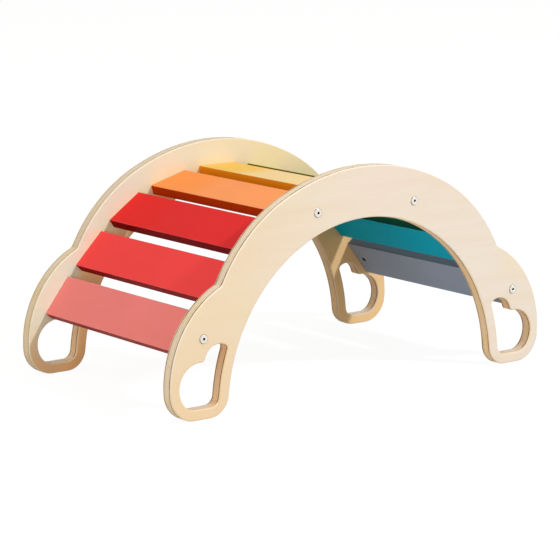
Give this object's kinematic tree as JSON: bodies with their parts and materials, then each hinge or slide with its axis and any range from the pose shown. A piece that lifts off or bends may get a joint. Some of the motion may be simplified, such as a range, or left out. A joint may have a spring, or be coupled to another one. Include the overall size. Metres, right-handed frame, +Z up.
{
  "type": "rocker arch",
  "caption": "Low wooden climbing arch that also rocks upside down: two cloud-shaped plywood sides with handle holes in the feet, joined by painted slats.",
  "frame": {"origin": "on the floor, in the middle of the arch's length and width", "axes": "+X along the arch, to the right seen from the front; +Y across it, from the front side to the rear side; +Z up"},
  "size_m": [0.872, 0.4848, 0.4144],
  "materials": {
    "plywood": "clear satin lacquer on birch plywood",
    "coral_paint": "satin coral paint",
    "light_red_paint": "satin light red paint",
    "red_paint": "satin red paint",
    "orange_paint": "satin orange paint",
    "yellow_paint": "satin yellow paint",
    "lime_paint": "satin lime paint",
    "green_paint": "satin green paint",
    "teal_paint": "satin teal paint",
    "grey_paint": "satin grey paint",
    "dowel_wood": "bare beech",
    "bolt_steel": "bright nickel plate",
    "nut_steel": "zinc plate"
  },
  "bodies": {
    "root": {"front_panel": "plywood", "rear_panel": "plywood", "coral_slat": "coral_paint", "light_red_slat": "light_red_paint", "red_slat": "red_paint", "orange_slat": "orange_paint", "yellow_slat": "yellow_paint", "lime_slat": "lime_paint", "green_slat": "green_paint", "teal_slat": "teal_paint", "grey_slat": "grey_paint", "coral_slat_dowels": "dowel_wood", "light_red_slat_dowels": "dowel_wood", "red_slat_dowels": "dowel_wood", "orange_slat_dowels": "dowel_wood", "yellow_slat_dowels": "dowel_wood", "lime_slat_dowels": "dowel_wood", "green_slat_dowels": "dowel_wood", "teal_slat_dowels": "dowel_wood", "grey_slat_dowels": "dowel_wood", "coral_slat_front_bolt": "bolt_steel", "coral_slat_rear_bolt": "bolt_steel", "orange_slat_front_bolt": "bolt_steel", "orange_slat_rear_bolt": "bolt_steel", "lime_slat_front_bolt": "bolt_steel", "lime_slat_rear_bolt": "bolt_steel", "grey_slat_front_bolt": "bolt_steel", "grey_slat_rear_bolt": "bolt_steel", "coral_slat_front_barrel_nut": "nut_steel", "coral_slat_rear_barrel_nut": "nut_steel", "orange_slat_front_barrel_nut": "nut_steel", "orange_slat_rear_barrel_nut": "nut_steel", "lime_slat_front_barrel_nut": "nut_steel", "lime_slat_rear_barrel_nut": "nut_steel", "grey_slat_front_barrel_nut": "nut_steel", "grey_slat_rear_barrel_nut": "nut_steel"}
  },
  "joints": []
}
